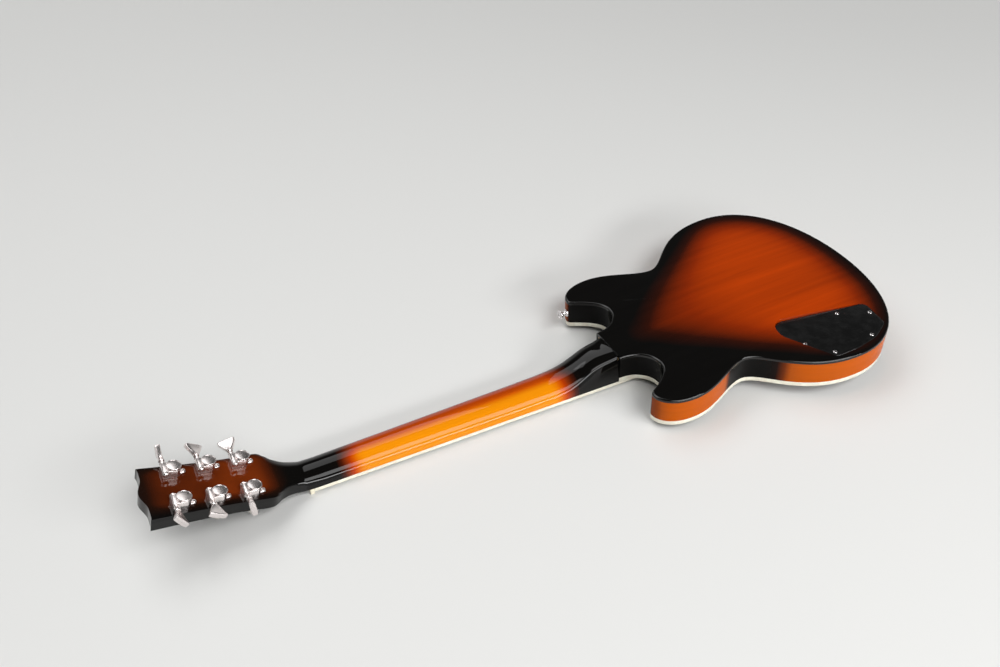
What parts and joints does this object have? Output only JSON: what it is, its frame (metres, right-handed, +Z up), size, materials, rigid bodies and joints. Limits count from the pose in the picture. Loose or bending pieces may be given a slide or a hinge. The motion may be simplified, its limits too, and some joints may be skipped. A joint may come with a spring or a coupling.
{
  "type": "semi-hollow electric guitar",
  "caption": "Semi-hollow double-cutaway electric guitar lying face down, with set neck, centre block, turning tuners, control knobs and a pickup switch.",
  "frame": {"origin": "centre of the bounding box at its lowest level, the plane of the strings, on which the guitar lies face down on its nut and bridge saddles", "axes": "+X from the headstock to the tail, +Y towards the bass side, +Z up, from the face of the guitar to its back"},
  "size_m": [0.9869, 0.3396, 0.0787],
  "materials": {
    "amber_lacquered_wood": "gloss lacquer",
    "burst_lacquered_wood": "gloss sunburst lacquer",
    "plain_maple": "unfinished",
    "rosewood": "oiled",
    "cream_binding": "gloss",
    "cream_plastic": "gloss",
    "bone": "polished",
    "black_plastic": "gloss",
    "chrome_plate": "polished",
    "nickel_steel": "satin",
    "plain_string": "polished",
    "wound_string": "wound"
  },
  "bodies": {
    "guitar": {"neck": "amber_lacquered_wood", "fingerboard": "rosewood", "fingerboard_binding": "cream_binding", "nut": "bone", "truss_rod": "nickel_steel", "truss_rod_cover": "black_plastic", "body_back": "burst_lacquered_wood", "body_sides": "amber_lacquered_wood", "body_top": "burst_lacquered_wood", "top_binding": "cream_binding", "centre_block": "plain_maple", "pickup_neck": "chrome_plate", "pickup_bridge": "chrome_plate", "pickup_ring_neck": "black_plastic", "pickup_ring_bridge": "black_plastic", "bridge": "chrome_plate", "bridge_post_bass": "nickel_steel", "bridge_post_treble": "nickel_steel", "tailpiece": "chrome_plate", "tailpiece_stud_bass": "nickel_steel", "tailpiece_stud_treble": "nickel_steel", "control_cover": "black_plastic", "strap_button_horn": "chrome_plate", "strap_button_tail": "chrome_plate", "toggle_switch": "chrome_plate", "jack_socket": "chrome_plate", "string_low_e": "wound_string", "string_a": "wound_string", "string_d": "wound_string", "string_g": "plain_string", "string_b": "plain_string", "string_high_e": "plain_string", "tuner_housing_bass_1": "chrome_plate", "tuner_housing_bass_2": "chrome_plate", "tuner_housing_bass_3": "chrome_plate", "tuner_housing_treble_1": "chrome_plate", "tuner_housing_treble_2": "chrome_plate", "tuner_housing_treble_3": "chrome_plate", "volume_neck_pot": "nickel_steel", "volume_bridge_pot": "nickel_steel", "tone_neck_pot": "nickel_steel", "tone_bridge_pot": "nickel_steel"},
    "tuner_button_bass_1": {"tuner_button_bass_1": "chrome_plate"},
    "tuner_post_bass_1": {"tuner_post_bass_1": "nickel_steel"},
    "tuner_button_bass_2": {"tuner_button_bass_2": "chrome_plate"},
    "tuner_post_bass_2": {"tuner_post_bass_2": "nickel_steel"},
    "tuner_button_bass_3": {"tuner_button_bass_3": "chrome_plate"},
    "tuner_post_bass_3": {"tuner_post_bass_3": "nickel_steel"},
    "tuner_button_treble_1": {"tuner_button_treble_1": "chrome_plate"},
    "tuner_post_treble_1": {"tuner_post_treble_1": "nickel_steel"},
    "tuner_button_treble_2": {"tuner_button_treble_2": "chrome_plate"},
    "tuner_post_treble_2": {"tuner_post_treble_2": "nickel_steel"},
    "tuner_button_treble_3": {"tuner_button_treble_3": "chrome_plate"},
    "tuner_post_treble_3": {"tuner_post_treble_3": "nickel_steel"},
    "volume_neck_knob": {"volume_neck_knob": "black_plastic"},
    "volume_bridge_knob": {"volume_bridge_knob": "black_plastic"},
    "tone_neck_knob": {"tone_neck_knob": "black_plastic"},
    "tone_bridge_knob": {"tone_bridge_knob": "black_plastic"},
    "toggle_lever": {"toggle_lever": "cream_plastic"}
  },
  "joints": [
    {"name": "tuner_button_bass_1_turn", "type": "hinge", "parent": "guitar", "child": "tuner_button_bass_1", "pos_m": [-0.38502, 0.0351, 0.04872], "axis": [0, 1, 0], "continuous": true},
    {"name": "tuner_post_bass_1_turn", "type": "hinge", "parent": "guitar", "child": "tuner_post_bass_1", "pos_m": [-0.38151, 0.0245, 0.02548], "axis": [0.2629, 0, 0.9648], "continuous": true},
    {"name": "tuner_button_bass_2_turn", "type": "hinge", "parent": "guitar", "child": "tuner_button_bass_2", "pos_m": [-0.4212, 0.0351, 0.05857], "axis": [0, 1, 0], "continuous": true},
    {"name": "tuner_post_bass_2_turn", "type": "hinge", "parent": "guitar", "child": "tuner_post_bass_2", "pos_m": [-0.41769, 0.0245, 0.03533], "axis": [0.2629, 0, 0.9648], "continuous": true},
    {"name": "tuner_button_bass_3_turn", "type": "hinge", "parent": "guitar", "child": "tuner_button_bass_3", "pos_m": [-0.45739, 0.0351, 0.06843], "axis": [0, 1, 0], "continuous": true},
    {"name": "tuner_post_bass_3_turn", "type": "hinge", "parent": "guitar", "child": "tuner_post_bass_3", "pos_m": [-0.45387, 0.0245, 0.04519], "axis": [0.2629, 0, 0.9648], "continuous": true},
    {"name": "tuner_button_treble_1_turn", "type": "hinge", "parent": "guitar", "child": "tuner_button_treble_1", "pos_m": [-0.38502, -0.0351, 0.04872], "axis": [0, 1, 0], "continuous": true},
    {"name": "tuner_post_treble_1_turn", "type": "hinge", "parent": "guitar", "child": "tuner_post_treble_1", "pos_m": [-0.38151, -0.0245, 0.02548], "axis": [0.2629, 0, 0.9648], "continuous": true},
    {"name": "tuner_button_treble_2_turn", "type": "hinge", "parent": "guitar", "child": "tuner_button_treble_2", "pos_m": [-0.4212, -0.0351, 0.05857], "axis": [0, 1, 0], "continuous": true},
    {"name": "tuner_post_treble_2_turn", "type": "hinge", "parent": "guitar", "child": "tuner_post_treble_2", "pos_m": [-0.41769, -0.0245, 0.03533], "axis": [0.2629, 0, 0.9648], "continuous": true},
    {"name": "tuner_button_treble_3_turn", "type": "hinge", "parent": "guitar", "child": "tuner_button_treble_3", "pos_m": [-0.45739, -0.0351, 0.06843], "axis": [0, 1, 0], "continuous": true},
    {"name": "tuner_post_treble_3_turn", "type": "hinge", "parent": "guitar", "child": "tuner_post_treble_3", "pos_m": [-0.45387, -0.0245, 0.04519], "axis": [0.2629, 0, 0.9648], "continuous": true},
    {"name": "volume_neck_turn", "type": "hinge", "parent": "guitar", "child": "volume_neck_knob", "pos_m": [0.35184, -0.088, 0.01921], "axis": [-0.045, 0, 0.999], "range_deg": [-140, 140]},
    {"name": "volume_bridge_turn", "type": "hinge", "parent": "guitar", "child": "volume_bridge_knob", "pos_m": [0.3938, -0.104, 0.0211], "axis": [-0.045, 0, 0.999], "range_deg": [-140, 140]},
    {"name": "tone_neck_turn", "type": "hinge", "parent": "guitar", "child": "tone_neck_knob", "pos_m": [0.35184, -0.126, 0.01921], "axis": [-0.045, 0, 0.999], "range_deg": [-140, 140]},
    {"name": "tone_bridge_turn", "type": "hinge", "parent": "guitar", "child": "tone_bridge_knob", "pos_m": [0.3918, -0.141, 0.02101], "axis": [-0.045, 0, 0.999], "range_deg": [-140, 140]},
    {"name": "toggle_swing", "type": "hinge", "parent": "guitar", "child": "toggle_lever", "pos_m": [0.31588, -0.084, 0.01759], "axis": [0.999, 0, 0.045], "range_deg": [-12, 12]}
  ],
  "couplings": [
    {"joint": "tuner_post_bass_1_turn", "follows": "tuner_button_bass_1_turn", "ratio": 0.071429},
    {"joint": "tuner_post_bass_2_turn", "follows": "tuner_button_bass_2_turn", "ratio": 0.071429},
    {"joint": "tuner_post_bass_3_turn", "follows": "tuner_button_bass_3_turn", "ratio": 0.071429},
    {"joint": "tuner_post_treble_1_turn", "follows": "tuner_button_treble_1_turn", "ratio": -0.071429},
    {"joint": "tuner_post_treble_2_turn", "follows": "tuner_button_treble_2_turn", "ratio": -0.071429},
    {"joint": "tuner_post_treble_3_turn", "follows": "tuner_button_treble_3_turn", "ratio": -0.071429}
  ]
}
